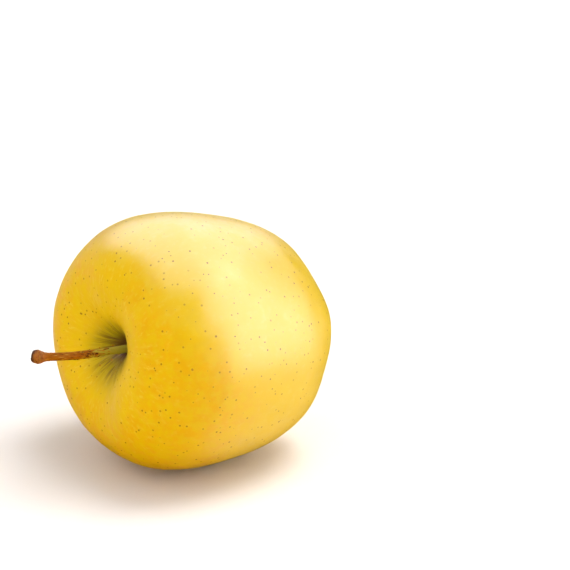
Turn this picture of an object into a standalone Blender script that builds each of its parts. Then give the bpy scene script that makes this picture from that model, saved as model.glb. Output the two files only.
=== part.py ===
"""A whole yellow apple lying on its cheek, with its stem and its dried calyx.

Metres, +Z up. The origin is the centre of the small flat that the fruit rests on. The core line
lies in the XZ plane: its stem end points to -X and a little up, and its calyx end to +X.

The fruit, stem and calyx are worked out in the fruit's own axes, with z along the core to the
stem, x towards the top of the lying fruit and y as in the world. In those axes theta is the angle
from the stem end, 0 there and pi at the calyx end, and phi is the angle round the core from x.
"""

import math

import bmesh
import bpy
from mathutils import Matrix, Vector

# Driving dimensions
FRUIT_RADIUS = 0.0383
CORE_TILT = math.radians(8.3)
CORE_CENTRE = Vector((-0.0003, 0.0, 0.0345))

# The side view of the fruit, as shares of the radius
STRETCH = 0.0130
PEAR_SHAPE = -0.0330
SQUARE_SHOULDERS = -0.0355

# The end view of the fruit, as shares of the radius, and where each form is strongest
LOPSIDED, LOPSIDED_AT = 0.010, math.radians(3)
OVAL, OVAL_AT = 0.024, math.radians(90)
THREE_SIDED, THREE_SIDED_AT = 0.004, math.radians(89)

# The five ribs, which end as crowns round the calyx
RIB_COUNT = 5
RIB_AT = math.radians(76)
RIB_DRIFT, RIB_DRIFT_AT = 0.5, -1.0
CHEEK_RIB = 0.0035
CROWN_RIB = 0.020
CROWN_THETA = 2.62
CROWN_SPREAD = 0.30

# The hollow round the stem: a wide dish with a funnel in its middle
DISH_DEPTH = 0.315 * FRUIT_RADIUS
DISH_SPREAD = 0.51
FUNNEL_DEPTH = 0.19 * FRUIT_RADIUS
FUNNEL_SPREAD = 0.125
FUNNEL_FALL = 1.4

# How the dish widens and narrows: waves round the core, share of its width, and where it is widest
DISH_PLEATS = (
    (5, 0.04, math.radians(-25)),
    (3, 0.06, math.radians(57)),
    (2, 0.03, math.radians(-29)),
)

# Two creases that run out of the hollow, at these places round the core
CREASES_AT = (math.radians(58), math.radians(176))
CREASE_DEPTH = 0.030 * FRUIT_RADIUS
CREASE_THETA = 0.27
CREASE_LENGTH = 0.14
CREASE_WIDTH = 0.30

# The basin round the calyx
BASIN_DEPTH = 0.27 * FRUIT_RADIUS
BASIN_SPREAD = 0.32
BASIN_FALL = 1.8
BASIN_PLEAT = 0.08

# How finely the fruit is divided, and how much closer its rings lie at the two ends
RINGS = 54
SEGMENTS = 84
END_CROWDING = 0.62

# The stem, from its root in the flesh: its place, its bend and its usual thickness
STEM_ROOT_Z = 0.0150
STEM_LENGTH = 0.0362
STEM_RADIUS = 0.00112
STEM_LOW = 0.0008
STEM_LIFT = 0.55
STEM_SAG, STEM_SAG_FALL = 0.0008, 1.6
STEM_SWAY = 0.0006
STEM_RINGS = 34
STEM_SIDES = 18
STEM_CROWDING = 1.35
SLOPE_STEP = 0.01

# Where the stem is thicker or slimmer, with places and lengths as shares of its length
ROOT_SWELL, ROOT_SWELL_LENGTH = 0.00035, 0.10
WAIST, WAIST_AT, WAIST_LENGTH = 0.00018, 0.36, 0.12
KNOB_SWELL, KNOB_LENGTH = 0.00075, 0.060
KNOB_FLARE, KNOB_FLARE_AT, KNOB_FLARE_LENGTH = 0.30, 0.25, 0.05
END_DOME = 0.0004

# The stem's low ridges: how many round it, share of its radius, and twist along it
STEM_RIDGES = ((3, 0.05, 5), (5, 0.03, -4))

# The button at the foot of the sepals
BUTTON_RADIUS = 0.0024
BUTTON_RIM = 0.0009
BUTTON_DOME = 0.0004
BUTTON_ROOT = 0.0014
BUTTON_SIDES = 20
BUTTON_STEPS = 4

# The sepals
SEPAL_COUNT = 5
SEPAL_HALF_WIDTH = 0.00105
SEPAL_TIP_HALF_WIDTH = 0.00015
SEPAL_THICKNESS = 0.00055
SEPAL_FOOT = (0.0016, 0.0006)
SEPAL_OUT, SEPAL_OUT_FALL = 0.0030, 1.5
SEPAL_RISE, SEPAL_BEND = 0.0047, 1.9
SEPAL_BELLY, SEPAL_TAPER_FALL = 0.35, 2.2
SEPAL_THINNING = 0.4
SEPAL_CUP = 0.0003
SEPAL_WRINKLE = 0.00012
SEPAL_SWAY = 0.0003
SEPAL_STEPS = 9
SEPAL_ACROSS = 4

# How unevenly the sepals are turned round the core and curled
UNEVEN_TURN = 0.05
UNEVEN_CURL = 0.22

# Room kept between pieces that touch
CLEARANCE = 0.0003

# Edges bent by more than this are shaded as crisp
CRISP_EDGE = math.radians(40)


def clear_scene():
    for obj in list(bpy.data.objects):
        bpy.data.objects.remove(obj)


def bump(angle, spread, fall):
    """1 at no angle, falling to nothing past the spread."""
    return math.exp(-((abs(angle) / spread) ** fall))


def rib_wave(phi):
    """The ribs round the core, from -1 to 1, a little unevenly spaced."""
    return math.cos(RIB_COUNT * (phi - RIB_AT) + RIB_DRIFT * math.sin(phi - RIB_DRIFT_AT))


def hollow_pleats(phi):
    """How much wider or narrower the dish round the stem is than its mean."""
    return 1 + sum(share * math.cos(waves * (phi - at)) for waves, share, at in DISH_PLEATS)


def crease_depth(theta, phi):
    """How far the creases in the wall of the hollow reach below it."""
    across = 0
    for crease_at in CREASES_AT:
        turn = math.remainder(phi - crease_at, 2 * math.pi)
        across += bump(turn, CREASE_WIDTH, 2)
    return CREASE_DEPTH * across * bump(theta - CREASE_THETA, CREASE_LENGTH, 2)


def skin_reach(theta, phi):
    """Distance from the middle of the core to the skin."""
    girth = math.sin(theta)
    side = (
        1
        + STRETCH * math.cos(2 * theta)
        + PEAR_SHAPE * math.cos(3 * theta)
        + SQUARE_SHOULDERS * math.cos(4 * theta)
    )
    lean = LOPSIDED * math.cos(phi - LOPSIDED_AT) * math.sin(theta / 2 + math.pi / 8) * girth
    oval = OVAL * math.cos(2 * (phi - OVAL_AT)) * girth**2
    three = THREE_SIDED * math.cos(3 * (phi - THREE_SIDED_AT)) * girth**2
    rib = rib_wave(phi)
    crown = CROWN_RIB * bump(theta - CROWN_THETA, CROWN_SPREAD, 2)
    ribs = rib * (CHEEK_RIB * girth**2 + crown)
    dish = DISH_DEPTH * bump(theta, DISH_SPREAD * hollow_pleats(phi), 2)
    funnel = FUNNEL_DEPTH * bump(theta, FUNNEL_SPREAD, FUNNEL_FALL)
    hollow = dish + funnel + crease_depth(theta, phi)
    basin_spread = BASIN_SPREAD * (1 + BASIN_PLEAT * rib)
    basin = BASIN_DEPTH * bump(math.pi - theta, basin_spread, BASIN_FALL)
    return FRUIT_RADIUS * (side + lean + oval + three + ribs) - hollow - basin


def skin_point(theta, phi):
    """A point of the skin in the fruit's own axes."""
    reach = skin_reach(theta, phi)
    ring = reach * math.sin(theta)
    return Vector((ring * math.cos(phi), ring * math.sin(phi), reach * math.cos(theta)))


def core_matrix():
    """From the fruit's own axes to the world."""
    cosine, sine = math.cos(CORE_TILT), math.sin(CORE_TILT)
    top = Vector((sine, 0, cosine))
    side = Vector((0, 1, 0))
    stem_end = Vector((-cosine, 0, sine))
    turn = Matrix((top, side, stem_end)).transposed().to_4x4()
    return Matrix.Translation(CORE_CENTRE) @ turn


def basin_matrix():
    """From axes at the bottom of the basin, with z out of it, to the world."""
    bottom = Matrix.Translation((0, 0, -skin_reach(math.pi, 0)))
    half_turn = Matrix.Rotation(math.pi, 4, "X")
    return core_matrix() @ bottom @ half_turn


def close_rings(bm, rings, first_end, last_end):
    """A closed skin through rings of equally many points, with a point at each end."""
    rows = [[bm.verts.new(point) for point in ring] for ring in rings]
    start, end = bm.verts.new(first_end), bm.verts.new(last_end)
    count = len(rows[0])
    for i in range(count):
        j = (i + 1) % count
        bm.faces.new((start, rows[0][i], rows[0][j]))
        bm.faces.new((end, rows[-1][j], rows[-1][i]))
    for row, next_row in zip(rows, rows[1:]):
        for i in range(count):
            j = (i + 1) % count
            bm.faces.new((row[i], next_row[i], next_row[j], row[j]))
    bmesh.ops.recalc_face_normals(bm, faces=bm.faces)


def lathe_ring(radius, height, sides):
    """A level ring of points round the z axis."""
    turns = [2 * math.pi * side / sides for side in range(sides)]
    return [Vector((radius * math.cos(turn), radius * math.sin(turn), height)) for turn in turns]


def finished_object(name, bm, matrix):
    """An object with its mesh in the world's axes, shaded smooth, and sharp at its crisp edges."""
    bmesh.ops.transform(bm, matrix=matrix, verts=bm.verts)
    mesh = bpy.data.meshes.new(name)
    bm.to_mesh(mesh)
    bm.free()
    mesh.shade_smooth()
    mesh.set_sharp_from_angle(angle=CRISP_EDGE)
    obj = bpy.data.objects.new(name, mesh)
    bpy.context.scene.collection.objects.link(obj)
    return obj


def plain_material(name, colour, roughness):
    material = bpy.data.materials.new(name)
    material.use_nodes = True
    shader = material.node_tree.nodes["Principled BSDF"]
    shader.inputs["Base Color"].default_value = (*colour, 1)
    shader.inputs["Roughness"].default_value = roughness
    shader.inputs["Metallic"].default_value = 0
    return material


def apply_modifiers(obj):
    """Replaces the object's mesh by what its modifiers make of it."""
    graph = bpy.context.evaluated_depsgraph_get()
    made = bpy.data.meshes.new_from_object(obj.evaluated_get(graph))
    obj.modifiers.clear()
    obj.data = made


def fruit_object():
    """Flesh and skin as one solid, cut level where it rests."""
    thetas = []
    for ring in range(1, RINGS):
        share = ring / RINGS
        crowd = END_CROWDING * math.sin(2 * math.pi * share) / (2 * math.pi)
        thetas.append(math.pi * (share - crowd))
    phis = [2 * math.pi * segment / SEGMENTS for segment in range(SEGMENTS)]
    rings = [[skin_point(theta, phi) for phi in phis] for theta in thetas]

    bm = bmesh.new()
    close_rings(bm, rings, skin_point(0, 0), skin_point(math.pi, 0))
    to_floor = core_matrix().inverted()
    down = to_floor.to_3x3() @ Vector((0, 0, -1))
    everything = bm.verts[:] + bm.edges[:] + bm.faces[:]
    cut = bmesh.ops.bisect_plane(
        bm, geom=everything, plane_co=to_floor.translation, plane_no=down, clear_outer=True
    )
    rim = [edge for edge in cut["geom_cut"] if isinstance(edge, bmesh.types.BMEdge)]
    bmesh.ops.edgeloop_fill(bm, edges=rim)
    bmesh.ops.recalc_face_normals(bm, faces=bm.faces)
    return finished_object("fruit", bm, core_matrix())


def stem_middle(share):
    """A point of the stem's middle line, from 0 at its root to 1 at its free end."""
    sag = STEM_SAG * math.sin(math.pi * share**STEM_SAG_FALL)
    below = STEM_LOW * (1 - STEM_LIFT * share**2) + sag
    return Vector((-below, -STEM_SWAY * share**2, STEM_ROOT_Z + STEM_LENGTH * share))


def stem_radius(share, phi):
    """Thick at the root, slim above the lip, with an uneven knob where it left the twig."""
    root = ROOT_SWELL * math.exp(-share / ROOT_SWELL_LENGTH)
    waist = WAIST * bump(share - WAIST_AT, WAIST_LENGTH, 2)
    knob = KNOB_SWELL * bump(1 - share, KNOB_LENGTH, 2)
    flare = KNOB_FLARE * math.cos(phi - KNOB_FLARE_AT) * bump(1 - share, KNOB_FLARE_LENGTH, 1)
    ridges = 1
    for count, height, twist in STEM_RIDGES:
        ridges += height * math.cos(count * phi + twist * share)
    return (STEM_RADIUS + root - waist + knob * (1 + flare)) * ridges


def stem_object(name, room=0.0):
    """The stem, or with room added all round, the tool that cuts its socket in the flesh."""
    rings = []
    for step in range(STEM_RINGS + 1):
        share = 1 - (1 - step / STEM_RINGS) ** STEM_CROWDING
        ahead, behind = min(share + SLOPE_STEP, 1), max(share - SLOPE_STEP, 0)
        along = (stem_middle(ahead) - stem_middle(behind)).normalized()
        turn = along.to_track_quat("Z", "X").to_matrix()
        ring = []
        for side in range(STEM_SIDES):
            phi = 2 * math.pi * side / STEM_SIDES
            radius = stem_radius(share, phi) + room
            spoke = Vector((radius * math.cos(phi), radius * math.sin(phi), 0))
            ring.append(stem_middle(share) + turn @ spoke)
        rings.append(ring)
    end_rise = Vector((0, 0, END_DOME + room))
    bm = bmesh.new()
    close_rings(bm, rings, stem_middle(0) - end_rise, stem_middle(1) + end_rise)
    return finished_object(name, bm, core_matrix())


def button_object():
    """The button, with its root sunk in the flesh. It stands at the bottom of the basin."""
    rings = [lathe_ring(BUTTON_RADIUS, -BUTTON_ROOT, BUTTON_SIDES)]
    for step in range(BUTTON_STEPS):
        rise = math.pi / 2 * step / BUTTON_STEPS
        height = BUTTON_RIM + BUTTON_DOME * math.sin(rise)
        rings.append(lathe_ring(BUTTON_RADIUS * math.cos(rise), height, BUTTON_SIDES))
    bm = bmesh.new()
    foot, top = Vector((0, 0, -BUTTON_ROOT)), Vector((0, 0, BUTTON_RIM + BUTTON_DOME))
    close_rings(bm, rings, foot, top)
    return finished_object("calyx", bm, Matrix.Identity(4))


def button_seat_object():
    """The tool that cuts the button's seat in the flesh, up past the skin."""
    radius, depth, height = BUTTON_RADIUS + CLEARANCE, BUTTON_ROOT + CLEARANCE, 2 * SEPAL_RISE
    rings = [lathe_ring(radius, level, BUTTON_SIDES) for level in (-depth, height)]
    bm = bmesh.new()
    close_rings(bm, rings, Vector((0, 0, -depth)), Vector((0, 0, height)))
    return finished_object("button_seat", bm, basin_matrix())


def sepal_middle(share, curl):
    """The middle line of a sepal, as distance out from the core and height in the basin."""
    outward = SEPAL_FOOT[0] + SEPAL_OUT * curl * share**SEPAL_OUT_FALL
    upward = SEPAL_FOOT[1] + SEPAL_RISE * math.sin(SEPAL_BEND * share)
    return Vector((outward, upward))


def join_blade(bm, upper, lower):
    """Closes two matching grids into a thin blade, both split into triangles alike."""
    steps, across = len(upper) - 1, len(upper[0]) - 1
    for grid in (upper, lower):
        for i in range(steps):
            for j in range(across):
                near, far = grid[i], grid[i + 1]
                bm.faces.new((near[j], far[j], far[j + 1]))
                bm.faces.new((near[j], far[j + 1], near[j + 1]))
    for i in range(steps):
        for j in (0, across):
            bm.faces.new((upper[i][j], upper[i + 1][j], lower[i + 1][j], lower[i][j]))
    for j in range(across):
        for i in (0, steps):
            bm.faces.new((upper[i][j], upper[i][j + 1], lower[i][j + 1], lower[i][j]))
    bmesh.ops.recalc_face_normals(bm, faces=bm.faces)


def sepal_object(index):
    """One dried sepal, a thin wavy blade that narrows to a tip and curls outward."""
    place = index + UNEVEN_TURN * math.sin(3 * index)
    turn = RIB_AT + 2 * math.pi * place / SEPAL_COUNT
    curl = 1 + UNEVEN_CURL * math.sin(2 * index + 1)
    bm = bmesh.new()
    grids = []
    for face in (1, -1):
        grid = []
        for step in range(SEPAL_STEPS + 1):
            share = step / SEPAL_STEPS
            middle = sepal_middle(share, curl)
            slope = (sepal_middle(share + SLOPE_STEP, curl) - middle).normalized()
            taper = (1 + SEPAL_BELLY * share) * (1 - share**SEPAL_TAPER_FALL)
            half_width = SEPAL_HALF_WIDTH * taper + SEPAL_TIP_HALF_WIDTH
            half_thickness = SEPAL_THICKNESS / 2 * (1 - SEPAL_THINNING * share)
            row = []
            for column in range(SEPAL_ACROSS + 1):
                across = 2 * column / SEPAL_ACROSS - 1
                wrinkle = SEPAL_WRINKLE * math.sin(7 * share + 2.5 * across + index)
                cup = (SEPAL_CUP * across**2 + wrinkle) * share
                lift = face * half_thickness * (1 - SEPAL_THINNING * across**2) + cup
                sway = SEPAL_SWAY * share * math.sin(4 * share + index)
                point = Vector(
                    (
                        middle.x - slope.y * lift,
                        across * half_width + sway,
                        middle.y + slope.x * lift,
                    )
                )
                row.append(bm.verts.new(point))
            grid.append(row)
        grids.append(grid)
    join_blade(bm, *grids)
    return finished_object(f"sepal_{index}", bm, Matrix.Rotation(turn, 4, "Z"))


def calyx_object():
    """The button and its five sepals, joined into one solid at the bottom of the basin."""
    calyx = button_object()
    sepals = bpy.data.collections.new("sepals")
    bpy.context.scene.collection.children.link(sepals)
    for index in range(SEPAL_COUNT):
        sepal = sepal_object(index)
        bpy.context.scene.collection.objects.unlink(sepal)
        sepals.objects.link(sepal)
    join = calyx.modifiers.new("join the sepals", "BOOLEAN")
    join.operation = "UNION"
    join.operand_type = "COLLECTION"
    join.collection = sepals
    apply_modifiers(calyx)
    for sepal in list(sepals.objects):
        bpy.data.objects.remove(sepal)
    bpy.data.collections.remove(sepals)
    calyx.data.transform(basin_matrix())
    return calyx


def cut_from(fruit, cutter):
    """Takes the cutter's shape out of the fruit."""
    cutter.hide_render = True
    cutter.display_type = "WIRE"
    cut = fruit.modifiers.new(cutter.name, "BOOLEAN")
    cut.operation = "DIFFERENCE"
    cut.object = cutter


def main():
    clear_scene()
    fruit = fruit_object()
    stem = stem_object("stem")
    calyx = calyx_object()
    cut_from(fruit, stem_object("stem_socket", room=CLEARANCE))
    cut_from(fruit, button_seat_object())

    fruit.data.materials.append(plain_material("golden waxed skin", (0.86, 0.52, 0.02), 0.35))
    stem.data.materials.append(plain_material("brown stem bark", (0.33, 0.14, 0.03), 0.65))
    calyx.data.materials.clear()
    calyx.data.materials.append(plain_material("dried sepals", (0.20, 0.14, 0.07), 0.85))


main()
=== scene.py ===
"""The looks of a whole yellow apple that lies on its cheek.

Metres, +Z up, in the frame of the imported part. Run as a script, it makes the fine skin, the stem,
the dried calyx and the stage. Its sizes and colours are settings that a user can change.
"""

import math
import random

import bmesh
import bpy
from bpy.props import FloatProperty, FloatVectorProperty, IntProperty, PointerProperty
from bpy.types import Operator, Panel, PropertyGroup
from mathutils import Matrix, Quaternion, Vector, noise


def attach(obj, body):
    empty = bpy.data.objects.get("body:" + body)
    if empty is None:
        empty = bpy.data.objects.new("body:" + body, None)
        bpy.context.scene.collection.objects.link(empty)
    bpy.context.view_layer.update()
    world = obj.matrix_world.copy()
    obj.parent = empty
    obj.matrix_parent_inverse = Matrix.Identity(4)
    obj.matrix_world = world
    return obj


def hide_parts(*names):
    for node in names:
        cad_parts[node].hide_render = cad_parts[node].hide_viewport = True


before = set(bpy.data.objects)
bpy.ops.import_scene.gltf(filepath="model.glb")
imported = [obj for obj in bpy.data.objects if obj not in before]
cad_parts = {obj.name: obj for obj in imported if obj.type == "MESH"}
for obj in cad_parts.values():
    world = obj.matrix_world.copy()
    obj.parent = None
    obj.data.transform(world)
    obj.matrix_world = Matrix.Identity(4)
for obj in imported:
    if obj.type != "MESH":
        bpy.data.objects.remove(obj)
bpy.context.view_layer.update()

bl_info = {
    "name": "Whole Yellow Apple",
    "version": (1, 0, 0),
    "blender": (4, 5, 0),
    "location": "View3D > Sidebar > Fruit",
    "description": "Makes a whole yellow apple with its stem, calyx and a pale studio stage",
    "category": "Add Mesh",
}

MILLIMETRE = 0.001


def linear_colour(hex_code):
    """Three linear numbers from an sRGB hex colour."""
    channels = [int(hex_code[start : start + 2], 16) / 255 for start in (1, 3, 5)]
    return [c / 12.92 if c <= 0.04045 else ((c + 0.055) / 1.055) ** 2.4 for c in channels]


def colour_setting(name, description, hex_code):
    return FloatVectorProperty(
        name=name,
        description=description,
        subtype="COLOR",
        size=3,
        min=0,
        max=1,
        default=linear_colour(hex_code),
    )


def length_setting(name, description, default):
    return FloatProperty(name=name, description=description, default=default, unit="LENGTH")


def number_setting(name, description, default):
    return FloatProperty(name=name, description=description, default=default)


def count_setting(name, description, default, least):
    return IntProperty(name=name, description=description, default=default, min=least)


# Settings


class FruitSkinSettings(PropertyGroup):
    """The form of the fruit and the colours of its skin."""

    radius: length_setting(
        "Radius", "Mean radius of the fruit round the middle of its core", 0.0383
    )
    tilt: FloatProperty(
        name="Core tilt",
        description="How far the stem end is raised above level",
        default=math.radians(8.3),
        subtype="ANGLE",
    )
    centre: FloatVectorProperty(
        name="Core centre",
        description="Middle of the core above the flat that the fruit rests on",
        subtype="XYZ",
        unit="LENGTH",
        size=3,
        default=(-0.0003, 0.0, 0.0345),
    )
    rings: count_setting("Rings", "Rings of faces from the stem to the calyx", 200, 40)
    segments: count_setting("Segments", "Faces round each ring", 320, 40)
    golden: colour_setting("Golden skin", "Ripe skin on the sunny cheek", "#F2B506")
    # Lemon is also painted on the upper cheek, as painted highlight that pales the top
    lemon: colour_setting("Lemon skin", "Less ripe skin in wide blotches", "#F1C80A")
    cream: colour_setting("Cream skin", "Paler skin on the rim of the hollow", "#EFC626")
    olive: colour_setting("Olive skin", "Unripe skin in the hollow round the stem", "#A8980C")
    # Russet is also painted shade: it covers the whole bottom of the hollow to darken the deep recess
    russet: colour_setting("Russet", "Corky brown skin at the bottom of the hollow", "#66401A")
    pore: colour_setting("Pore", "Corky dots all over the skin", "#B07204")
    # Also painted highlight: these pale grey flecks on the hollow's wall stand in for glints on its
    # folds
    bloom_and_highlight: colour_setting("Bloom", "Pale grey bloom on the wall of the hollow", "#B5AC84")
    halo: colour_setting("Pale", "Pale skin in streaks and flecks, and round a pore", "#F8DA60")
    blotch_size: length_setting("Blotch size", "Width of the blotches of less ripe skin", 0.025)
    mottle_size: length_setting("Mottle size", "Width of the fine mottling", 0.0034)
    streaks: number_setting("Streaks", "Long streaks in one radian round the stem", 15)
    streak_length: length_setting("Streak length", "Length of the long streaks", 0.010)
    flecks: number_setting("Flecks", "Short flecks in one radian round the stem", 26)
    fleck_length: length_setting("Fleck length", "Length of the short flecks", 0.0017)
    pore_spacing: length_setting(
        "Pore spacing", "Side of the cube that holds one pore, shown if it is at the skin", 0.0021
    )
    pore_radius: length_setting("Pore radius", "Radius of the largest pores", 0.00032)
    roughness: FloatProperty(
        name="Roughness",
        description="Roughness of the natural wax",
        default=0.42,
        min=0,
        max=1,
    )


class StemSettings(PropertyGroup):
    """The size and colours of the stem."""

    root_z: length_setting(
        "Root", "Distance of the stem's root from the middle of the core", 0.0150
    )
    length: length_setting("Length", "Length of the stem from its root in the flesh", 0.0362)
    radius: length_setting("Radius", "Usual radius of the stem", 0.00112)
    rings: count_setting("Rings", "Rings of faces along the stem", 220, 20)
    sides: count_setting("Sides", "Faces round the stem", 64, 12)
    flakes: count_setting(
        "Flakes", "Flakes of old bark that lift from the middle of the stem", 26, 0
    )
    flake_patch: length_setting("Flake patch", "Width of the worn patches on a flake", 0.0007)
    bark: colour_setting("Bark", "Dry red-brown bark", "#A9600C")
    pale_bark: colour_setting("Pale bark", "Worn ridges of the bark", "#C78E32")
    dark_bark: colour_setting(
        "Dark bark", "Bark in furrows, and where it broke from the twig", "#4E260A"
    )
    green: colour_setting("Green bark", "Younger bark near the root", "#C0B344")
    scar: colour_setting("Scar", "Reddish wood at the end, where it left the twig", "#B0673A")


class CalyxSettings(PropertyGroup):
    """The size and colours of the dried calyx."""

    sepal_out: length_setting("Sepal reach", "How far a sepal curls outward from its foot", 0.0030)
    sepal_rise: length_setting("Sepal rise", "How far a sepal stands up from its foot", 0.0047)
    stamens: count_setting("Stamens", "Dried stamens that stand inside the sepals", 18, 0)
    husk: colour_setting("Husk", "Dried sepals", "#6C5434")
    down: colour_setting("Down", "Grey down on the sepals", "#9C8E6E")


class StageSettings(PropertyGroup):
    """Floor, light and camera."""

    floor: colour_setting("Floor", "Pale floor", "#E6E1DE")
    card: colour_setting("Card", "Card that throws warm light up at the fruit", "#D6C836")
    daylight: number_setting("Daylight", "Strength of the light on the front of the fruit", 1.0)
    window: number_setting("Window light", "Strength of the light from the right", 1.46)
    floor_light: number_setting("Floor light", "Strength of the light that whitens the floor", 2.3)
    room: number_setting("Room", "Strength of the light from all round", 1.84)
    top_softbox: number_setting(
        "Top softbox", "Brightness of the softbox above, which only the gloss mirrors", 3.85
    )
    side_softbox: number_setting(
        "Side softbox", "Brightness of the softbox on the right, which only the gloss mirrors", 4.95
    )
    low_softbox: number_setting(
        "Low softbox", "Brightness of the softbox low on the right, which only the gloss mirrors", 0.68
    )
    back_softbox: number_setting(
        "Back softbox", "Brightness of the softbox low behind, which only the gloss mirrors", 0.4
    )


# The fruit's form, as shares of its radius and places round its core, as in the part's solid
STRETCH = 0.0130
PEAR_SHAPE = -0.0330
SQUARE_SHOULDERS = -0.0355
LOPSIDED, LOPSIDED_AT = 0.010, math.radians(3)
OVAL, OVAL_AT = 0.024, math.radians(90)
THREE_SIDED, THREE_SIDED_AT = 0.004, math.radians(89)
RIB_COUNT, RIB_AT = 5, math.radians(76)
RIB_DRIFT, RIB_DRIFT_AT = 0.5, -1.0
CHEEK_RIB = 0.0035
CROWN_RIB, CROWN_THETA, CROWN_SPREAD = 0.020, 2.62, 0.30
DISH_DEPTH, DISH_SPREAD = 0.315, 0.51
DISH_PLEATS = (
    (5, 0.04, math.radians(-25)),
    (3, 0.06, math.radians(57)),
    (2, 0.03, math.radians(-29)),
)
FUNNEL_DEPTH, FUNNEL_SPREAD, FUNNEL_FALL = 0.19, 0.125, 1.4
CREASES_AT = (math.radians(58), math.radians(176))
CREASE_DEPTH, CREASE_THETA, CREASE_LENGTH, CREASE_WIDTH = 0.030, 0.27, 0.14, 0.30
BASIN_DEPTH, BASIN_SPREAD, BASIN_FALL, BASIN_PLEAT = 0.27, 0.32, 1.8, 0.08
END_CROWDING = 0.62

# Fine relief of the skin, in metres: soft dimples all over, and folds in the wall of the hollow
DIMPLE_HEIGHT, DIMPLE_WIDTH = 0.00010, 0.0065
FOLD_HEIGHT, FOLDS_PER_RADIAN, FOLD_THETA, FOLD_FALL = 0.00016, 5.0, 0.40, 4
FOLD_DRIFT, FOLD_OCTAVES, FOLD_START = 3, 3, 0.08

# The stem's bend and thickness, as in the part's solid, with places as shares of its length
STEM_LOW, STEM_LIFT = 0.0008, 0.55
STEM_SAG, STEM_SAG_FALL = 0.0008, 1.6
STEM_SWAY = 0.0006
STEM_CROWDING = 1.35
SLOPE_STEP = 0.01
ROOT_SWELL, ROOT_SWELL_LENGTH = 0.00035, 0.10
WAIST, WAIST_AT, WAIST_LENGTH = 0.00018, 0.36, 0.12
KNOB_SWELL, KNOB_LENGTH = 0.00075, 0.060
KNOB_FLARE, KNOB_FLARE_AT, KNOB_FLARE_LENGTH = 0.30, 0.25, 0.05
END_DOME = 0.0004
STEM_RIDGES = ((3, 0.05, 5), (5, 0.03, -4))

# Fine relief of the bark: furrows along it, and lumps on the knob
FURROW_DEPTH, FURROW_WIDTH, FURROW_LENGTH = 0.00008, 0.0005, 0.0030
LUMP_HEIGHT, LUMP_WIDTH, LUMPS_OFF_KNOB = 0.00022, 0.0009, 0.15

# Where flakes of old bark lift from the stem, and their size
FLAKES_FROM, FLAKES_TO = 0.34, 0.66
FLAKE_LENGTH, FLAKE_WIDTH, FLAKE_THICKNESS, FLAKE_LIFT = 0.0017, 0.0007, 0.00008, 0.00022
FLAKE_SMALLEST, FLAKE_LARGEST, FLAKE_BLUNTNESS, FLAKE_CURL = 0.6, 1.2, 0.12, 0.4
FLAKE_STEPS, FLAKE_ACROSS, FLAKE_SEED = 6, 4, 7

# The calyx, as in the part's solid
BUTTON_RADIUS, BUTTON_RIM, BUTTON_DOME, BUTTON_ROOT = 0.0024, 0.0009, 0.0004, 0.0014
BUTTON_LUMP_HEIGHT, BUTTON_LUMP_WIDTH = 0.00008, 0.0006
BUTTON_SIDES, BUTTON_STEPS = 48, 10
SEPAL_COUNT = 5
SEPAL_HALF_WIDTH, SEPAL_TIP_HALF_WIDTH, SEPAL_THICKNESS = 0.00105, 0.00015, 0.00055
SEPAL_FOOT = (0.0016, 0.0006)
SEPAL_OUT_FALL, SEPAL_BEND = 1.5, 1.9
SEPAL_BELLY, SEPAL_TAPER_FALL, SEPAL_THINNING = 0.35, 2.2, 0.4
SEPAL_CUP, SEPAL_SWAY, SWAY_WAVES = 0.0003, 0.0003, 4
SEPAL_WRINKLE, WRINKLE_WAVES, WRINKLE_SLANT = 0.00012, 7, 2.5
UNEVEN_TURN, UNEVEN_CURL = 0.05, 0.22
SEPAL_STEPS, SEPAL_ACROSS = 40, 14
VEIN_HEIGHT, VEIN_WAVES = 0.00007, 3 * math.pi

# The dried stamens inside the sepals
STAMEN_RING, STAMEN_HEIGHT, STAMEN_RADIUS, ANTHER_RADIUS = 0.0011, 0.0040, 0.00010, 0.00024
STAMEN_SHORTEST, STAMEN_LONGEST, STAMEN_STAGGER, STAMEN_TWIST = 0.7, 1.1, 0.3, 0.5
STAMEN_LEAST_LEAN, STAMEN_MOST_LEAN = 0.0002, 0.0010
ANTHER_AT, ANTHER_LENGTH = 0.92, 0.08
STAMEN_STEPS, STAMEN_SIDES, STAMEN_SEED = 10, 8, 3


def bump(angle, spread, fall):
    """1 at no angle, falling to nothing past the spread."""
    return math.exp(-((abs(angle) / spread) ** fall))


def around(radius, phi, height=0):
    """A point at this distance from the z axis and this turn round it."""
    return Vector((radius * math.cos(phi), radius * math.sin(phi), height))


def rib_wave(phi):
    """The ribs round the core, from -1 to 1, a little unevenly spaced."""
    return math.cos(RIB_COUNT * (phi - RIB_AT) + RIB_DRIFT * math.sin(phi - RIB_DRIFT_AT))


def hollow_pleats(phi):
    """How much wider or narrower the dish round the stem is than its mean."""
    return 1 + sum(share * math.cos(waves * (phi - at)) for waves, share, at in DISH_PLEATS)


def crease_depth(theta, phi):
    """How far the creases in the wall of the hollow reach below it, as a share of the radius."""
    across = 0
    for crease_at in CREASES_AT:
        turn = math.remainder(phi - crease_at, 2 * math.pi)
        across += bump(turn, CREASE_WIDTH, 2)
    return CREASE_DEPTH * across * bump(theta - CREASE_THETA, CREASE_LENGTH, 2)


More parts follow.
